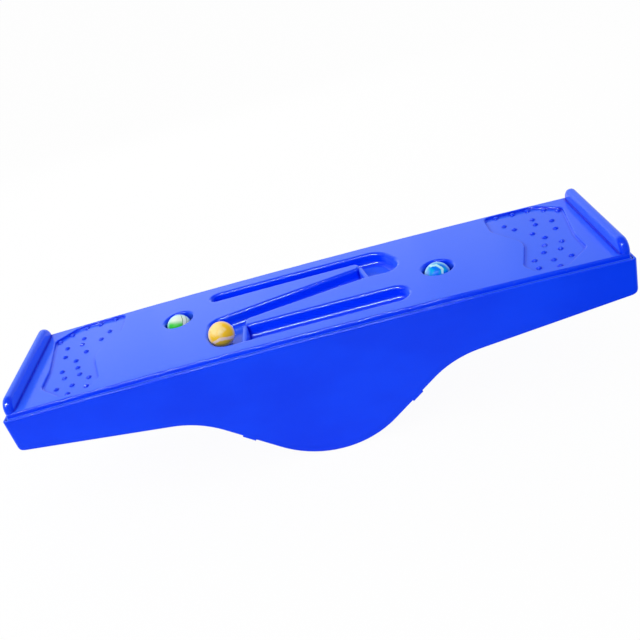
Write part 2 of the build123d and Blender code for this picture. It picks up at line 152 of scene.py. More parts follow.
class Studio(bpy.types.PropertyGroup):
    """Floor, lamps and camera."""

    lens: FloatProperty(
        name="Lens", description="Focal length of the camera", default=42.79, min=10.0, max=200.0,
        unit="CAMERA",
    )
    camera_place: FloatVectorProperty(
        name="Camera", description="Where the camera stands", default=(0.08157, -0.84818, 0.59465),
        size=3, subtype="XYZ", unit="LENGTH",
    )
    camera_turn: FloatVectorProperty(
        name="Camera turn", description="How the camera is turned", size=3, subtype="EULER",
        default=radians(60.287, 14.794, -3.523), unit="ROTATION",
    )
    room: FloatProperty(
        name="Room light", description="Strength of the even light of the room", default=0.74,
        min=0.0, max=10.0,
    )
    key: FloatProperty(
        name="Key lamp", description="Power of the long lamp on the left", default=13.0, min=0.0,
        max=1000.0, unit="POWER",
    )
    strip: FloatProperty(
        name="Strip lamp", description="Power of the narrow lamp above the front edge",
        default=135.0, min=0.0, max=1000.0, unit="POWER",
    )
    panel: FloatProperty(
        name="Back panel", description="Power per metre of the panel lamps behind the board",
        default=4.6, min=0.0, max=1000.0, unit="POWER",
    )
    white: factor("White floor", "How much of the floor is seen as plain white", 0.96)
    card: factor("Card", "How bright the dark end of the reflection card is", 0.1)


# ---------------------------------------------------------------------------
# Node helpers
# ---------------------------------------------------------------------------

# A Mix node has sockets for every type of value under the same names; these are its colours.
MIX_COLOURS_IN = (6, 7)
MIX_COLOUR_OUT = 2


def new_node(tree, kind, at=(0, 0), inputs=None, **settings):
    """One node with its settings and input values."""
    node = tree.nodes.new(kind)
    node.location = at
    for name, value in settings.items():
        setattr(node, name, value)
    for name, value in (inputs or {}).items():
        node.inputs[name].default_value = value
    return node


def math_node(tree, operation, a, b=None, at=(0, 0)):
    """One math node; a and b are sockets or numbers."""
    node = new_node(tree, "ShaderNodeMath", at, operation=operation)
    for slot, value in enumerate((a, b)):
        if isinstance(value, bpy.types.NodeSocket):
            tree.links.new(value, node.inputs[slot])
        elif value is not None:
            node.inputs[slot].default_value = value
    return node.outputs[0]


def ramp_between(tree, value, low, high, at=(0, 0)):
    """0 at low, 1 at high, smooth between them."""
    node = new_node(tree, "ShaderNodeMapRange", at, interpolation_type="SMOOTHSTEP")
    tree.links.new(value, node.inputs["Value"])
    node.inputs["From Min"].default_value = low
    node.inputs["From Max"].default_value = high
    return node.outputs["Result"]


def band_at(tree, value, middle, half, soft, at=(0, 0)):
    """1 where value is within half of middle, fading over soft."""
    away = math_node(tree, "ABSOLUTE", math_node(tree, "SUBTRACT", value, middle, at), None, at)
    return math_node(tree, "SUBTRACT", 1.0, ramp_between(tree, away, half, half + soft, at), at)


def mix_colours(tree, mask, a, b, at=(0, 0)):
    """Colour a where the mask is 0 and b where it is 1; a and b are sockets or colours."""
    node = new_node(tree, "ShaderNodeMix", at, data_type="RGBA")
    tree.links.new(mask, node.inputs["Factor"])
    for slot, value in zip(MIX_COLOURS_IN, (a, b)):
        if isinstance(value, bpy.types.NodeSocket):
            tree.links.new(value, node.inputs[slot])
        else:
            node.inputs[slot].default_value = (*value, 1.0)
    return node.outputs[MIX_COLOUR_OUT]


def new_group(name, inputs, outputs):
    """An empty shader group with its sockets, and its input and output nodes."""
    group = bpy.data.node_groups.new(name, "ShaderNodeTree")
    for label, kind in inputs:
        group.interface.new_socket(label, in_out="INPUT", socket_type=kind)
    for label, kind in outputs:
        group.interface.new_socket(label, in_out="OUTPUT", socket_type=kind)
    source = new_node(group, "NodeGroupInput", (-1400, 0))
    sink = new_node(group, "NodeGroupOutput", (900, 0))
    return group, source, sink


def new_material(name):
    """A material, its tree and its shader."""
    material = bpy.data.materials.new(name)
    material.use_nodes = True
    return material, material.node_tree, material.node_tree.nodes["Principled BSDF"]


def dress(node, material):
    """Gives a CAD node its material."""
    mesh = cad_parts[node].data
    mesh.materials.clear()
    mesh.materials.append(material)


# ---------------------------------------------------------------------------
# Moulded plastic
# ---------------------------------------------------------------------------

# Each pair says where a mask starts and where it is full.
CLOUD_NOISE = (0.35, 0.70)
SCRATCH_NOISE = (0.52, 0.72)
SCRATCHED_PATCH_NOISE = (0.50, 0.75)
ROLLED_HEIGHT = (0.035, 0.0)  # metres above the floor
SPECK_DISTANCE = (0.040, 0.015)  # from the middle of its cell, in cells
FOOT_SHADE_OPENNESS = (0.96, 0.58)
CREASE_SHADE_OPENNESS = (0.34, 0.04)
GLANCING_SHEEN_FACING = (0.22, 0.62)
LOOKING_DOWN = (-0.12, -0.50)  # upward share of the face's normal

FLOW_SHARE = 0.08  # of the long flow lines in the slow warp
PATCH_SHARE = 0.25  # of the scratches away from the line that the board rolls on
SPECK_CELLS = 26.0  # per metre
SPECK_CHANCE = 0.035  # share of the cells that have a speck
SPECK_STRENGTH = 0.75
FOOT_FADE = 0.002  # metres over which the shade at the feet ends
CLOUD_ROUGHNESS = 0.04
PLAIN_SPECULAR = 0.5  # the shader's own specular level
CORNER_SAMPLES = 8


def moulded_skin_group():
    """Pigment clouds, slow warp, fine grain and rubbed places of a large moulding."""
    outputs = [
        ("Cloud", "NodeSocketFloat"),
        ("Warp", "NodeSocketFloat"),
        ("Grain", "NodeSocketFloat"),
        ("Rubbed", "NodeSocketFloat"),
        ("Speck", "NodeSocketFloat"),
    ]
    group, source, sink = new_group("moulded_skin", [("Vector", "NodeSocketVector")], outputs)
    place = source.outputs["Vector"]

    def noise(scale, detail, stretch, at):
        """Noise with so many waves per metre, stretched along each axis."""
        spread = new_node(group, "ShaderNodeMapping", at, {"Scale": stretch})
        node = new_node(group, "ShaderNodeTexNoise", (at[0] + 200, at[1]))
        node.inputs["Scale"].default_value = scale
        node.inputs["Detail"].default_value = detail
        group.links.new(place, spread.inputs["Vector"])
        group.links.new(spread.outputs["Vector"], node.inputs["Vector"])
        return node.outputs["Fac"]

    clouds = noise(7.0, 3.0, (1.0, 1.6, 1.6), (-1100, 500))
    cloud = ramp_between(group, clouds, *CLOUD_NOISE, (-600, 500))
    group.links.new(cloud, sink.inputs["Cloud"])

    slow = noise(5.5, 1.0, (1.0, 1.4, 1.0), (-1100, 250))
    flow = noise(14.0, 1.5, (0.35, 1.6, 1.0), (-1100, 50))
    flow = math_node(group, "MULTIPLY", flow, FLOW_SHARE, (-500, 50))
    group.links.new(math_node(group, "ADD", slow, flow, (-300, 150)), sink.inputs["Warp"])

    fine = noise(1400.0, 2.0, (1.0, 1.0, 1.0), (-1100, -150))
    group.links.new(fine, sink.inputs["Grain"])

    # Rubbed: fine scratches along the board, mostly on the line that it rolls on.
    streaks = noise(90.0, 4.0, (0.12, 1.0, 1.0), (-1100, -350))
    streak = ramp_between(group, streaks, *SCRATCH_NOISE, (-600, -350))
    parts = new_node(group, "ShaderNodeSeparateXYZ", (-1100, -550))
    group.links.new(place, parts.inputs[0])
    rolled = ramp_between(group, parts.outputs["Z"], *ROLLED_HEIGHT, (-600, -550))
    blotches = noise(11.0, 3.0, (1.0, 1.0, 1.0), (-1100, -750))
    patches = ramp_between(group, blotches, *SCRATCHED_PATCH_NOISE, (-600, -750))
    some = math_node(group, "MULTIPLY", patches, PATCH_SHARE, (-300, -700))
    where = math_node(group, "MAXIMUM", rolled, some, (-100, -600))
    group.links.new(math_node(group, "MULTIPLY", streak, where), sink.inputs["Rubbed"])

    # Specks: a few burnt grains of pigment, each in its own cell.
    cells = new_node(group, "ShaderNodeTexVoronoi", (-900, -950), {"Scale": SPECK_CELLS})
    group.links.new(place, cells.inputs["Vector"])
    chance = new_node(group, "ShaderNodeSeparateXYZ", (-700, -1050))
    group.links.new(cells.outputs["Color"], chance.inputs[0])
    chosen = math_node(
        group, "GREATER_THAN", chance.outputs["X"], 1.0 - SPECK_CHANCE, (-500, -1050)
    )
    dot = ramp_between(group, cells.outputs["Distance"], *SPECK_DISTANCE, (-500, -900))
    group.links.new(math_node(group, "MULTIPLY", dot, chosen), sink.inputs["Speck"])
    return group


def shade_foot(tree, base, place, finish):
    """Painted shade where a stud, a ridge or the edge of a pad meets the deck, but not at its rim."""
    foot = new_node(tree, "ShaderNodeAmbientOcclusion", (-500, 900), samples=CORNER_SAMPLES)
    foot.only_local = True
    foot.inputs["Distance"].default_value = finish.foot_reach
    shaded = ramp_between(tree, foot.outputs["AO"], *FOOT_SHADE_OPENNESS, (-300, 900))
    parts = new_node(tree, "ShaderNodeSeparateXYZ", (-900, 1200))
    tree.links.new(place, parts.inputs[0])
    across = math_node(tree, "ABSOLUTE", parts.outputs["Y"], None, (-700, 1200))
    faded = finish.foot_limit - FOOT_FADE
    inner = ramp_between(tree, across, finish.foot_limit, faded, (-500, 1200))
    shaded = math_node(tree, "MULTIPLY", shaded, inner, (-100, 1000))
    return mix_colours(tree, shaded, base, finish.foot, (100, 300))


def moulded_material(name, finish, group, warp_share, soft_edge, small_relief):
    """Semi-gloss moulded plastic with painted reflection and painted shade; small_relief adds painted
    shade at the feet of studs and ridges.
    """
    material, tree, shader = new_material(name)
    place = new_node(tree, "ShaderNodeTexCoord", (-1200, 0))
    skin = new_node(tree, "ShaderNodeGroup", (-950, 0), node_tree=group)
    tree.links.new(place.outputs["Object"], skin.inputs["Vector"])
    base = mix_colours(tree, skin.outputs["Cloud"], finish.plastic, finish.cloud, (-600, 300))
    # Painted reflection: the colour turns paler towards glancing angles.
    along = new_node(tree, "ShaderNodeLayerWeight", (-900, 500), {"Blend": 0.5})
    glancing_sheen_mask = ramp_between(tree, along.outputs["Facing"], *GLANCING_SHEEN_FACING, (-600, 500))
    base = mix_colours(tree, glancing_sheen_mask, base, finish.painted_glancing_sheen, (-300, 300))
    speck = math_node(tree, "MULTIPLY", skin.outputs["Speck"], SPECK_STRENGTH, (-300, 500))
    base = mix_colours(tree, speck, base, finish.speck, (-100, 300))
    # Painted shade: the colour darkens deep in creases and gaps, wherever little around a point is
    # open.
    crease_shade = new_node(tree, "ShaderNodeAmbientOcclusion", (-500, 700), samples=CORNER_SAMPLES)
    crease_shade.inputs["Distance"].default_value = finish.crease_reach
    deep = ramp_between(tree, crease_shade.outputs["AO"], *CREASE_SHADE_OPENNESS, (-300, 700))
    base = mix_colours(tree, deep, base, finish.crease_shade, (0, 300))
    if small_relief:
        base = shade_foot(tree, base, place.outputs["Object"], finish)
    tree.links.new(base, shader.inputs["Base Color"])
    # Painted shade on reflections: less is reflected deep in a crease, and from the faces that look
    # down, as if what they reflect were shaded.
    open_share = math_node(tree, "SUBTRACT", 1.0, deep, (-100, 700))
    facing = new_node(tree, "ShaderNodeSeparateXYZ", (-900, 900))
    tree.links.new(place.outputs["Normal"], facing.inputs[0])
    below = ramp_between(tree, facing.outputs["Z"], *LOOKING_DOWN, (-700, 900))
    below = math_node(tree, "MULTIPLY", below, finish.below_reflection_shade, (-500, 1000))
    bright_share = math_node(tree, "SUBTRACT", 1.0, below, (-300, 1000))
    share = math_node(tree, "MULTIPLY", open_share, bright_share, (-100, 850))
    shine = math_node(tree, "MULTIPLY", share, PLAIN_SPECULAR, (100, 700))
    tree.links.new(shine, shader.inputs["Specular IOR Level"])

    rub = math_node(tree, "MULTIPLY", skin.outputs["Rubbed"], finish.rubbed, (-600, 100))
    uneven = math_node(tree, "MULTIPLY", skin.outputs["Cloud"], CLOUD_ROUGHNESS, (-600, 0))
    rough = math_node(tree, "ADD", rub, uneven, (-400, 50))
    rough = math_node(tree, "ADD", rough, finish.roughness, (-250, 50))
    tree.links.new(rough, shader.inputs["Roughness"])

    edges = new_node(tree, "ShaderNodeBevel", (-750, -400), samples=CORNER_SAMPLES)
    edges.inputs["Radius"].default_value = soft_edge
    warp = new_node(tree, "ShaderNodeBump", (-500, -300), {"Strength": 1.0})
    tree.links.new(edges.outputs["Normal"], warp.inputs["Normal"])
    warp.inputs["Distance"].default_value = finish.warp * warp_share
    grain = new_node(tree, "ShaderNodeBump", (-250, -300), {"Strength": 1.0})
    grain.inputs["Distance"].default_value = finish.grain
    tree.links.new(skin.outputs["Warp"], warp.inputs["Height"])
    tree.links.new(skin.outputs["Grain"], grain.inputs["Height"])
    tree.links.new(warp.outputs["Normal"], grain.inputs["Normal"])
    tree.links.new(grain.outputs["Normal"], shader.inputs["Normal"])
    shader.inputs["IOR"].default_value = finish.ior
    shader.inputs["Specular Tint"].default_value = (*finish.sheen, 1.0)
    return material


class BOARD_OT_mouldings(bpy.types.Operator):
    """Give the shell and the deck their moulded plastic"""

    bl_idname = "board.mouldings"
    bl_label = "Shell and Deck"

    def execute(self, context):
        finish = context.scene.moulded_finish
        group = moulded_skin_group()
        shell = moulded_material(
            "shell_plastic", finish, group, warp_share=1.0, soft_edge=finish.soft_edge,
            small_relief=False,
        )
        deck = moulded_material(
            "deck_plastic", finish, group, warp_share=0.6, soft_edge=finish.deck_edge,
            small_relief=True,
        )
        dress("rocker_shell", shell)
        dress("deck_panel", deck)
        return {"FINISHED"}


# ---------------------------------------------------------------------------
# Balls
# ---------------------------------------------------------------------------

# Painted reflection: where the pale outline of a ball starts and where it is full.
EDGE_SHEEN_FACING = (0.36, 0.72)  # where a ball's pale edge starts and where it is full
SWIRL_BEND = 0.25  # strength of the slow noise that bends the swirl

# Right, up and towards the front, as a person who stands before the board sees a ball.
RIGHT = Vector((0.965, -0.059, -0.255))
UP = Vector((0.252, 0.481, 0.840))
FRONT = Vector((0.073, -0.875, 0.479))


def swirl_group():
    """A point on a ball seen from its centre, bent by slow noise, and blotches."""
    inputs = [("Vector", "NodeSocketVector"), ("Centre", "NodeSocketVector")]
    outputs = [("Direction", "NodeSocketVector"), ("Blotch", "NodeSocketFloat")]
    group, source, sink = new_group("ball_swirl", inputs, outputs)
    away = new_node(group, "ShaderNodeVectorMath", (-1100, 0), operation="SUBTRACT")
    group.links.new(source.outputs["Vector"], away.inputs[0])
    group.links.new(source.outputs["Centre"], away.inputs[1])
    unit = new_node(group, "ShaderNodeVectorMath", (-900, 0), operation="NORMALIZE")
    group.links.new(away.outputs[0], unit.inputs[0])
    bend = new_node(group, "ShaderNodeTexNoise", (-700, -200), {"Scale": 1.6, "Detail": 2.0})
    group.links.new(unit.outputs[0], bend.inputs["Vector"])
    middle = new_node(group, "ShaderNodeVectorMath", (-500, -200), operation="SUBTRACT")
    middle.inputs[1].default_value = (0.5, 0.5, 0.5)
    group.links.new(bend.outputs["Color"], middle.inputs[0])
    scaled = new_node(group, "ShaderNodeVectorMath", (-300, -200), operation="SCALE")
    scaled.inputs["Scale"].default_value = SWIRL_BEND
    group.links.new(middle.outputs[0], scaled.inputs[0])
    bent = new_node(group, "ShaderNodeVectorMath", (-100, 0), operation="ADD")
    group.links.new(unit.outputs[0], bent.inputs[0])
    group.links.new(scaled.outputs[0], bent.inputs[1])
    group.links.new(bent.outputs[0], sink.inputs["Direction"])
    blotch = new_node(group, "ShaderNodeTexNoise", (-700, 200), {"Scale": 3.2, "Detail": 3.0})
    group.links.new(bent.outputs[0], blotch.inputs["Vector"])
    group.links.new(blotch.outputs["Fac"], sink.inputs["Blotch"])
    return group


def towards(tree, direction, aim, at):
    """How far a point on the ball lies towards aim, from -1 to 1."""
    node = new_node(tree, "ShaderNodeVectorMath", at, operation="DOT_PRODUCT")
    node.inputs[1].default_value = aim
    tree.links.new(direction, node.inputs[0])
    return node.outputs["Value"]


def ball_material(name, centre, group, finish, paint, edge_sheen_colour):
    """Swirled plastic; paint builds the colour from the direction and the blotches."""
    material, tree, shader = new_material(name)
    place = new_node(tree, "ShaderNodeTexCoord", (-1600, 0))
    swirl = new_node(tree, "ShaderNodeGroup", (-1350, 0), node_tree=group)
    swirl.inputs["Centre"].default_value = centre
    tree.links.new(place.outputs["Object"], swirl.inputs["Vector"])
    shade = paint(tree, swirl.outputs["Direction"], swirl.outputs["Blotch"], finish)
    # Painted reflection: each ball turns paler towards its outline, where it is seen at a glancing
    # angle.
    along = new_node(tree, "ShaderNodeLayerWeight", (-600, 600), {"Blend": 0.5})
    edge = ramp_between(tree, along.outputs["Facing"], *EDGE_SHEEN_FACING, (-400, 600))
    pale = math_node(tree, "MULTIPLY", edge, finish.painted_edge_sheen, (-200, 600))
    shade = mix_colours(tree, pale, shade, edge_sheen_colour, (200, 300))
    tree.links.new(shade, shader.inputs["Base Color"])
    shader.inputs["Roughness"].default_value = finish.roughness
    shader.inputs["IOR"].default_value = finish.ior
    return material


def axis(right, up, front):
    """Axis given by how far it points to the right, up and towards the front."""
    return (RIGHT * right + UP * up + FRONT * front).normalized()


def paint_yellow(tree, direction, blotch, finish):
    """Gold, with a straw patch, a cream swirl and a lower gold under it, made paler to paint light
    into the shade at the ball's bottom.
    """
    height = towards(tree, direction, axis(-0.29, 0.95, -0.15), (-1100, 0))
    patch = towards(tree, direction, axis(-0.25, 0.40, 0.88), (-1100, 200))
    mottled = math_node(tree, "MULTIPLY", blotch, 0.5, (-1100, 400))
    pale = ramp_between(tree, math_node(tree, "ADD", patch, mottled), 0.98, 1.24, (-700, 300))
    shade = mix_colours(tree, pale, finish.gold, finish.straw, (-400, 300))
    # Painted light: the lower part gets a paler gold, to offset the shade that falls under the ball.
    below = ramp_between(tree, height, -0.50, -0.60, (-700, 0))
    shade = mix_colours(tree, below, shade, finish.painted_light_lower_gold, (-200, 200))
    swirl = band_at(tree, height, -0.50, 0.065, 0.06, (-700, -200))
    return mix_colours(tree, swirl, shade, finish.cream, (0, 100))


def paint_green(tree, direction, blotch, finish):
    """Chalk, with a green pool low in front and thin veins."""
    height = towards(tree, direction, axis(-0.05, 0.98, -0.15), (-1100, 0))
    side = towards(tree, direction, axis(0.93, 0.065, -0.36), (-1100, 200))
    pool = ramp_between(tree, height, 0.48, 0.02, (-700, 0))
    left = ramp_between(tree, side, 0.10, 0.02, (-700, 150))
    pool = math_node(tree, "MULTIPLY", pool, left, (-500, 50))
    shade = mix_colours(tree, pool, finish.chalk, finish.leaf, (-300, 200))
    far = ramp_between(tree, side, 0.52, 0.72, (-700, 300))
    far = math_node(tree, "MULTIPLY", far, 0.5, (-500, 300))
    shade = mix_colours(tree, far, shade, finish.leaf, (-200, 300))
    vein = band_at(tree, side, 0.08, 0.012, 0.035, (-700, 500))
    faint = math_node(tree, "MULTIPLY", band_at(tree, side, 0.43, 0.02, 0.05, (-700, 700)), 0.5)
    veins = math_node(tree, "MAXIMUM", math_node(tree, "MULTIPLY", vein, 0.85), faint, (-300, 600))
    return mix_colours(tree, veins, shade, finish.moss, (0, 300))


def paint_blue(tree, direction, blotch, finish):
    """Azure, with teal patches and an arched swirl of ice."""
    patches = ramp_between(tree, blotch, 0.46, 0.62, (-700, 0))
    shade = mix_colours(tree, patches, finish.azure, finish.teal, (-400, 0))
    near = towards(tree, direction, axis(-0.35, 0.15, 0.925), (-1100, 200))
    arch = band_at(tree, near, 0.82, 0.035, 0.045, (-700, 300))
    side = towards(tree, direction, axis(0.55, 0.80, 0.0), (-1100, 400))
    arch = math_node(tree, "MULTIPLY", arch, ramp_between(tree, side, 0.05, 0.2), (-500, 300))
    height = towards(tree, direction, axis(0.0, 1.0, 0.0), (-1100, 600))
    right = towards(tree, direction, axis(1.0, 0.0, 0.0), (-1100, 800))
    tail = band_at(tree, height, 0.72, 0.06, 0.05, (-700, 600))
    tail = math_node(tree, "MULTIPLY", tail, ramp_between(tree, right, -0.1, -0.25), (-500, 600))
    swirl = math_node(tree, "MAXIMUM", arch, tail, (-300, 400))
    shade = mix_colours(tree, swirl, shade, finish.ice, (-200, 200))
    rim = ramp_between(tree, right, -0.6, -0.95, (-700, 900))
    rim = math_node(tree, "MULTIPLY", rim, 0.5, (-500, 900))
    return mix_colours(tree, rim, shade, finish.ice, (0, 300))


class BOARD_OT_balls(bpy.types.Operator):
    """Give the three balls their swirled plastic"""

    bl_idname = "board.balls"
    bl_label = "Balls"

    def execute(self, context):
        finish = context.scene.ball_finish
        group = swirl_group()
        paints = {
            "yellow": (paint_yellow, finish.cream),
            "green": (paint_green, finish.ice),
            "blue": (paint_blue, finish.ice),
        }
        for name, (paint, edge_sheen_colour) in paints.items():
            low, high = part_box(f"ball_{name}")
            centre = [(a + b) / 2 for a, b in zip(low, high)]
            material = ball_material(f"swirled_{name}", centre, group, finish, paint, edge_sheen_colour)
            dress(f"ball_{name}", material)
        return {"FINISHED"}


# ---------------------------------------------------------------------------
# Screws
# ---------------------------------------------------------------------------

# X and Y of the screws from the middle of the board, in metres: four of each pair.
SCREW_PLACES = {"Inner": (0.150, 0.086), "Middle": (0.2185, 0.066), "Outer": (0.3625, 0.060)}
SCREW_INPUTS = ("Head Radius", "Head Height", "Shank Radius", "Length", "Pitch", "Recess", "Top")
ZINC = (0.60, 0.62, 0.66)
DULL_ZINC = (0.74, 0.74, 0.72)
ZINC_NOISE = (0.40, 0.65)  # where the dull zinc starts and where it is full


def geometry_input(tree, label, kind, value):
    """Adds a named input to a geometry tree and returns its identifier."""
    socket = tree.interface.new_socket(label, in_out="INPUT", socket_type=kind)
    socket.default_value = value
    return socket.identifier


def screw_tree(material):
    """Geometry tree: one cross-recessed screw, set at the corners of three rectangles."""
    tree = bpy.data.node_groups.new("deck_screws", "GeometryNodeTree")
    tree.interface.new_socket("Geometry", in_out="OUTPUT", socket_type="NodeSocketGeometry")
    names = {label: geometry_input(tree, label, "NodeSocketFloat", 0.001) for label in SCREW_INPUTS}
    for pair in SCREW_PLACES:
        for side in ("X", "Y"):
            label = f"{pair} {side}"
            names[label] = geometry_input(tree, label, "NodeSocketFloat", 0.1)
    given = new_node(tree, "NodeGroupInput", (-1600, 0)).outputs
    sink = new_node(tree, "NodeGroupOutput", (1600, 0))

    def cone(low_radius, high_radius, depth):
        """Cone or cylinder that stands on the origin."""
        node = new_node(tree, "GeometryNodeMeshCone", (-1000, 0), {"Vertices": 32})
        tree.links.new(low_radius, node.inputs["Radius Bottom"])
        tree.links.new(high_radius, node.inputs["Radius Top"])
        tree.links.new(depth, node.inputs["Depth"])
        return node.outputs["Mesh"]

    def lift(geometry, height):
        """The geometry, moved up."""
        node = new_node(tree, "GeometryNodeTransform", (-600, 0))
        shift = new_node(tree, "ShaderNodeCombineXYZ", (-800, -200))
        tree.links.new(height, shift.inputs["Z"])
        tree.links.new(geometry, node.inputs["Geometry"])
        tree.links.new(shift.outputs[0], node.inputs["Translation"])
        return node.outputs[0]

    # A pan head: a rolled face below a straight rim.
    face_depth = math_node(tree, "MULTIPLY", given["Head Height"], 0.4)
    rim_depth = math_node(tree, "SUBTRACT", given["Head Height"], face_depth)
    face_radius = math_node(tree, "MULTIPLY", given["Head Radius"], 0.72)
    face = cone(face_radius, given["Head Radius"], face_depth)
    rim = lift(cone(given["Head Radius"], given["Head Radius"], rim_depth), face_depth)

    # The cross recess is cut into the face.
    cut = new_node(tree, "GeometryNodeMeshBoolean", (-200, 0), operation="DIFFERENCE", solver="EXACT")
    arm_length = math_node(tree, "MULTIPLY", given["Head Radius"], 1.15)
    arm_depth = math_node(tree, "MULTIPLY", given["Head Height"], 1.2)
    head = new_node(tree, "GeometryNodeMeshBoolean", (-300, 200), operation="UNION", solver="EXACT")
    for part in (face, rim):
        tree.links.new(part, head.inputs["Mesh 2"])
    tree.links.new(head.outputs["Mesh"], cut.inputs["Mesh 1"])
    for order in (("X", "Y"), ("Y", "X")):
        size = new_node(tree, "ShaderNodeCombineXYZ", (-800, -400))
        tree.links.new(arm_length, size.inputs[order[0]])
        tree.links.new(given["Recess"], size.inputs[order[1]])
        tree.links.new(arm_depth, size.inputs["Z"])
        arm = new_node(tree, "GeometryNodeMeshCube", (-600, -400))
        tree.links.new(size.outputs[0], arm.inputs["Size"])
        tree.links.new(arm.outputs["Mesh"], cut.inputs["Mesh 2"])

    # The shank, its point and the thread that winds round it.
    core_radius = math_node(tree, "MULTIPLY", given["Shank Radius"], 0.74)
    point_depth = math_node(tree, "MULTIPLY", given["Shank Radius"], 1.4)
    bare_depth = math_node(tree, "SUBTRACT", given["Length"], given["Head Height"])
    core_depth = math_node(tree, "SUBTRACT", bare_depth, point_depth)
    point_radius = math_node(tree, "MULTIPLY", core_radius, 0.25)
    core = lift(cone(core_radius, core_radius, core_depth), given["Head Height"])
    point_base = math_node(tree, "ADD", given["Head Height"], core_depth)
    point = lift(cone(core_radius, point_radius, point_depth), point_base)

    ridge_radius = math_node(tree, "MULTIPLY", given["Shank Radius"], 0.17)
    wind_radius = math_node(tree, "SUBTRACT", given["Shank Radius"], ridge_radius)
    turns = math_node(tree, "DIVIDE", core_depth, given["Pitch"])
    helix = new_node(tree, "GeometryNodeCurveSpiral", (-600, -700), {"Resolution": 16})
    for socket, value in zip(
        ("Rotations", "Start Radius", "End Radius", "Height"),
        (turns, wind_radius, wind_radius, core_depth),
    ):
        tree.links.new(value, helix.inputs[socket])
    ridge = new_node(tree, "GeometryNodeCurvePrimitiveCircle", (-600, -900), {"Resolution": 4})
    tree.links.new(ridge_radius, ridge.inputs["Radius"])
    thread = new_node(tree, "GeometryNodeCurveToMesh", (-300, -800), {"Fill Caps": True})
    tree.links.new(helix.outputs["Curve"], thread.inputs["Curve"])
    tree.links.new(ridge.outputs["Curve"], thread.inputs["Profile Curve"])
    wound = lift(thread.outputs["Mesh"], given["Head Height"])

    screw = new_node(tree, "GeometryNodeJoinGeometry", (200, 0))
    for part in (cut.outputs["Mesh"], core, point, wound):
        tree.links.new(part, screw.inputs[0])

    # Four screws at the corners of each rectangle.
    places = new_node(tree, "GeometryNodeJoinGeometry", (200, -500))
    for pair in SCREW_PLACES:
        corners = new_node(
            tree, "GeometryNodeMeshGrid", (0, -500), {"Vertices X": 2, "Vertices Y": 2}
        )
        for side in ("X", "Y"):
            width = math_node(tree, "MULTIPLY", given[f"{pair} {side}"], 2.0)
            tree.links.new(width, corners.inputs[f"Size {side}"])
        tree.links.new(corners.outputs["Mesh"], places.inputs[0])
    head_low = math_node(tree, "SUBTRACT", given["Top"], given["Length"])
    raised = lift(places.outputs[0], head_low)
    spin = new_node(tree, "FunctionNodeRandomValue", (400, -300), data_type="FLOAT")
    largest = spin.inputs[3]
    largest.default_value = math.tau
    spin.inputs["Seed"].default_value = 7
    turn = new_node(tree, "ShaderNodeCombineXYZ", (600, -300))
    tree.links.new(spin.outputs[1], turn.inputs["Z"])
    placed = new_node(tree, "GeometryNodeInstanceOnPoints", (800, 0))
    tree.links.new(raised, placed.inputs["Points"])
    tree.links.new(screw.outputs[0], placed.inputs["Instance"])
    tree.links.new(turn.outputs[0], placed.inputs["Rotation"])
    real = new_node(tree, "GeometryNodeRealizeInstances", (1000, 0))
    tree.links.new(placed.outputs[0], real.inputs[0])
    finish = new_node(tree, "GeometryNodeSetMaterial", (1200, 0))
    finish.inputs["Material"].default_value = material
    tree.links.new(real.outputs[0], finish.inputs["Geometry"])
    tree.links.new(finish.outputs[0], sink.inputs[0])
    return tree, names


def zinc_material():
    """Bright zinc with small dull patches."""
    material, tree, shader = new_material("bright_zinc")
    shader.inputs["Metallic"].default_value = 1.0
    place = new_node(tree, "ShaderNodeTexCoord", (-1000, 0))
    patina = new_node(tree, "ShaderNodeTexNoise", (-750, 0), {"Scale": 500.0, "Detail": 3.0})
    tree.links.new(place.outputs["Object"], patina.inputs["Vector"])
    mask = ramp_between(tree, patina.outputs["Fac"], *ZINC_NOISE, (-500, 0))
    shade = mix_colours(tree, mask, ZINC, DULL_ZINC, (-250, 100))
    tree.links.new(shade, shader.inputs["Base Color"])
    dull = math_node(tree, "MULTIPLY", mask, 0.14, (-250, -100))
    tree.links.new(math_node(tree, "ADD", dull, 0.24, (-100, -100)), shader.inputs["Roughness"])
    return material


class BOARD_OT_screws(bpy.types.Operator):
    """Make the twelve cross-recessed screws that hold the deck on the shell"""

    bl_idname = "board.screws"
    bl_label = "Screws"

    def execute(self, context):
        sizes = context.scene.screw_sizes
        low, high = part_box("shell_screws")
        material = zinc_material()
        tree, names = screw_tree(material)
        values = {
            "Head Radius": sizes.head_radius,
            "Head Height": sizes.head_height,
            "Shank Radius": sizes.shank_radius,
            "Length": high[2] - low[2],
            "Pitch": sizes.pitch,
            "Recess": sizes.recess,
            "Top": high[2],
        }
        for pair, place in SCREW_PLACES.items():
            for side, value in zip(("X", "Y"), place):
                values[f"{pair} {side}"] = value
        draft = bpy.data.objects.new("screw_draft", bpy.data.meshes.new("screw_draft"))
        context.scene.collection.objects.link(draft)
        modifier = draft.modifiers.new("screws", "NODES")
        modifier.node_group = tree
        for label, value in values.items():
            modifier[names[label]] = value
        graph = context.evaluated_depsgraph_get()
        mesh = bpy.data.meshes.new_from_object(draft.evaluated_get(graph))
        bpy.data.objects.remove(draft)
        if not mesh.polygons:
            raise RuntimeError("the screw tree made no faces")
        mesh.name = "deck_screws"
        screws = bpy.data.objects.new("deck_screws", mesh)
        context.scene.collection.objects.link(screws)
        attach(screws, "board")
        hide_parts("shell_screws")
        return {"FINISHED"}


# ---------------------------------------------------------------------------
# Studio
# ---------------------------------------------------------------------------

FLOOR_HALF = 40.0

# Edges and height of the glowing card that only reflections see, which paints a reflection bright on
# the left and dark on the right, and the X where it is dark and bright.
CARD_LEFT = -0.8
CARD_RIGHT = 1.4
CARD_FRONT = -1.6
CARD_BACK = -0.102
CARD_HEIGHT = 0.001
CARD_GRADE = (0.50, 0.10)

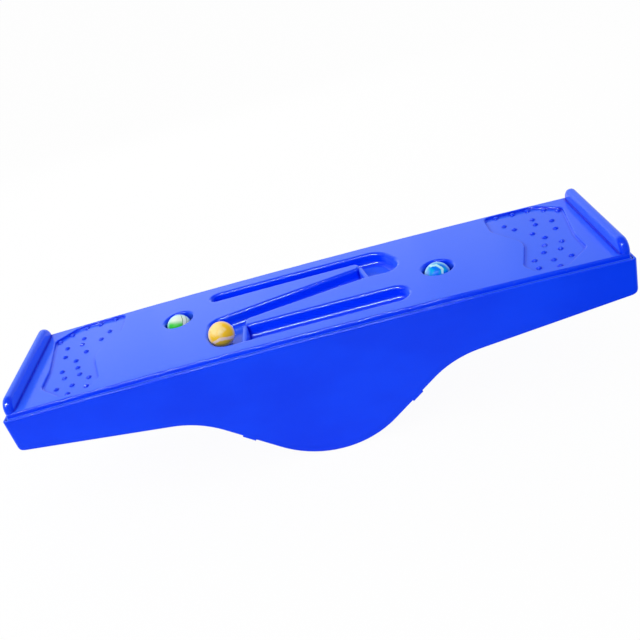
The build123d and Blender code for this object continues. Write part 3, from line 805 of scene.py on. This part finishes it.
# Size, place and aim of the two lamps in front of the board.
KEY_LAMP = ((2.2, 1.0), (-1.25, -0.65, 1.20), (0.0, 0.0, 0.15))
STRIP_LAMP = ((1.9, 0.10), (-0.60, -0.80, 1.31), (-0.60, 0.0, 0.17))

# Left side, right side and strength of each panel lamp behind the board.
BACK_PANELS = (
    (-1.35, -1.0, 0.35), (-1.0, -0.7, 0.75), (-0.7, -0.3, 1.0), (-0.3, 0.0, 0.85),
    (0.0, 0.3, 0.70), (0.3, 0.6, 0.42), (0.6, 0.9, 0.05),
)
PANEL_DEPTH = 1.6
PANEL_Y = 1.5
PANEL_HEIGHT = 1.0
PANEL_AIM = 0.17  # height of the point that each panel is turned to

SENSOR_WIDTH = 36.0  # millimetres


def seen_directly(tree, at):
    """1 for camera, glossy and transmission rays, 0 for the light that falls on things."""
    path = new_node(tree, "ShaderNodeLightPath", at)
    direct = math_node(
        tree, "MAXIMUM", path.outputs["Is Camera Ray"], path.outputs["Is Glossy Ray"]
    )
    return math_node(tree, "MAXIMUM", direct, path.outputs["Is Transmission Ray"])


def light_room(scene, strength):
    """Even light from all sides, and white where it is seen directly."""
    world = bpy.data.worlds.new("room")
    scene.world = world
    world.use_nodes = True
    tree = world.node_tree
    tree.nodes.clear()
    out = new_node(tree, "ShaderNodeOutputWorld", (400, 0))
    room = new_node(tree, "ShaderNodeBackground", (0, 0), {"Strength": strength})
    white = new_node(tree, "ShaderNodeBackground", (0, -200), {"Strength": 1.0})
    for node in (room, white):
        node.inputs["Color"].default_value = (1, 1, 1, 1)
    mix = new_node(tree, "ShaderNodeMixShader", (200, 0))
    tree.links.new(seen_directly(tree, (-400, 200)), mix.inputs[0])
    tree.links.new(room.outputs[0], mix.inputs[1])
    tree.links.new(white.outputs[0], mix.inputs[2])
    tree.links.new(mix.outputs[0], out.inputs[0])


def lay_floor(scene, white_share):
    """White paper floor that keeps a soft shadow."""
    mesh = bpy.data.meshes.new("floor")
    bm = bmesh.new()
    bmesh.ops.create_grid(bm, x_segments=1, y_segments=1, size=FLOOR_HALF)
    bm.to_mesh(mesh)
    bm.free()
    floor = bpy.data.objects.new("floor", mesh)
    scene.collection.objects.link(floor)
    material, tree, paper = new_material("floor_paper")
    mesh.materials.append(material)
    paper.inputs["Base Color"].default_value = (0.9, 0.9, 0.9, 1)
    paper.inputs["Roughness"].default_value = 0.9
    paper.inputs["Specular IOR Level"].default_value = 0.0
    glow = new_node(tree, "ShaderNodeEmission", (0, -300), {"Strength": 1.0})
    share = math_node(tree, "MULTIPLY", seen_directly(tree, (-600, 300)), white_share, (-200, 300))
    mix = new_node(tree, "ShaderNodeMixShader", (350, 0))
    out = tree.nodes["Material Output"]
    tree.links.new(share, mix.inputs[0])
    tree.links.new(paper.outputs[0], mix.inputs[1])
    tree.links.new(glow.outputs[0], mix.inputs[2])
    tree.links.new(mix.outputs[0], out.inputs["Surface"])


def lay_card(scene, dark_end):
    """Glowing card on the floor before the board, which only reflections see: a painted reflection,
    darker to the right.
    """
    mesh = bpy.data.meshes.new("glowing_reflection_card")
    corners = [
        (CARD_LEFT, CARD_FRONT, CARD_HEIGHT),
        (CARD_RIGHT, CARD_FRONT, CARD_HEIGHT),
        (CARD_RIGHT, CARD_BACK, CARD_HEIGHT),
        (CARD_LEFT, CARD_BACK, CARD_HEIGHT),
    ]
    mesh.from_pydata(corners, [], [(0, 1, 2, 3)])
    card = bpy.data.objects.new("glowing_reflection_card", mesh)
    scene.collection.objects.link(card)
    card.visible_camera = False
    card.visible_diffuse = False
    card.visible_shadow = False
    card.visible_transmission = False
    material, tree, paper = new_material("graded_reflection_glow")
    tree.nodes.remove(paper)
    mesh.materials.append(material)
    place = new_node(tree, "ShaderNodeTexCoord", (-800, 0))
    parts = new_node(tree, "ShaderNodeSeparateXYZ", (-600, 0))
    tree.links.new(place.outputs["Object"], parts.inputs[0])
    grade = ramp_between(tree, parts.outputs["X"], *CARD_GRADE, (-400, 0))
    share = math_node(tree, "MULTIPLY", grade, 1.0 - dark_end, (-200, 0))
    glow = new_node(tree, "ShaderNodeEmission", (0, 0))
    tree.links.new(math_node(tree, "ADD", share, dark_end, (-100, 0)), glow.inputs["Strength"])
    tree.links.new(glow.outputs[0], tree.nodes["Material Output"].inputs["Surface"])


def hang_lamp(scene, name, power, size, place, aim):
    """Soft rectangular lamp that points at aim."""
    lamp = bpy.data.lights.new(name, "AREA")
    lamp.shape = "RECTANGLE"
    lamp.size, lamp.size_y = size
    lamp.energy = power
    lamp_object = bpy.data.objects.new(name, lamp)
    turn = (Vector(aim) - Vector(place)).to_track_quat("-Z", "Y")
    lamp_object.matrix_world = Matrix.Translation(place) @ turn.to_matrix().to_4x4()
    scene.collection.objects.link(lamp_object)
    return lamp_object


def set_camera(scene, lens, place, turn):
    """The scene's camera."""
    data = bpy.data.cameras.new("camera")
    data.lens = lens
    data.sensor_width = SENSOR_WIDTH
    camera = bpy.data.objects.new("camera", data)
    camera.matrix_world = Matrix.Translation(place) @ Euler(turn).to_matrix().to_4x4()
    scene.collection.objects.link(camera)
    scene.camera = camera


class BOARD_OT_studio(bpy.types.Operator):
    """Make the floor, the lamps and the camera"""

    bl_idname = "board.studio"
    bl_label = "Studio"

    def execute(self, context):
        studio = context.scene.board_studio
        scene = context.scene
        scene.view_settings.view_transform = "Standard"
        light_room(scene, studio.room)
        lay_floor(scene, studio.white)
        hang_lamp(scene, "key", studio.key, *KEY_LAMP)
        strip = hang_lamp(scene, "strip", studio.strip, *STRIP_LAMP)
        strip.visible_diffuse = False
        lay_card(scene, studio.card)
        for number, (left, right, share) in enumerate(BACK_PANELS):
            width = right - left
            middle = (left + right) / 2
            power = studio.panel * share * width
            place = (middle, PANEL_Y, PANEL_HEIGHT)
            aim = (middle, 0.0, PANEL_AIM)
            hang_lamp(scene, f"back_panel_{number}", power, (width, PANEL_DEPTH), place, aim)
        set_camera(scene, studio.lens, studio.camera_place, studio.camera_turn)
        return {"FINISHED"}


class BOARD_PT_panel(bpy.types.Panel):
    """Lists the board's pieces and their settings"""

    bl_idname = "BOARD_PT_panel"
    bl_label = "Balance Board"
    bl_space_type = "VIEW_3D"
    bl_region_type = "UI"
    bl_category = "Balance Board"

    def draw(self, context):
        layout = self.layout
        for operator in OPERATORS:
            layout.operator(operator.bl_idname)
        for setting in SETTINGS:
            values = getattr(context.scene, setting)
            box = layout.box()
            for name in values.__annotations__:
                box.prop(values, name)


SETTINGS = {
    "moulded_finish": MouldedFinish,
    "ball_finish": BallFinish,
    "screw_sizes": ScrewSizes,
    "board_studio": Studio,
}
OPERATORS = (BOARD_OT_mouldings, BOARD_OT_balls, BOARD_OT_screws, BOARD_OT_studio)
CLASSES = (*SETTINGS.values(), *OPERATORS, BOARD_PT_panel)


def register():
    """Adds the panel, the operators and the settings."""
    for cls in CLASSES:
        bpy.utils.register_class(cls)
    for name, group in SETTINGS.items():
        setattr(bpy.types.Scene, name, PointerProperty(type=group))


def unregister():
    """Takes them away again."""
    for name in SETTINGS:
        delattr(bpy.types.Scene, name)
    for cls in reversed(CLASSES):
        bpy.utils.unregister_class(cls)


def main():
    """Makes the board's looks and its studio."""
    register()
    bpy.ops.board.mouldings()
    bpy.ops.board.balls()
    bpy.ops.board.screws()
    bpy.ops.board.studio()


if __name__ == "__main__":
    main()
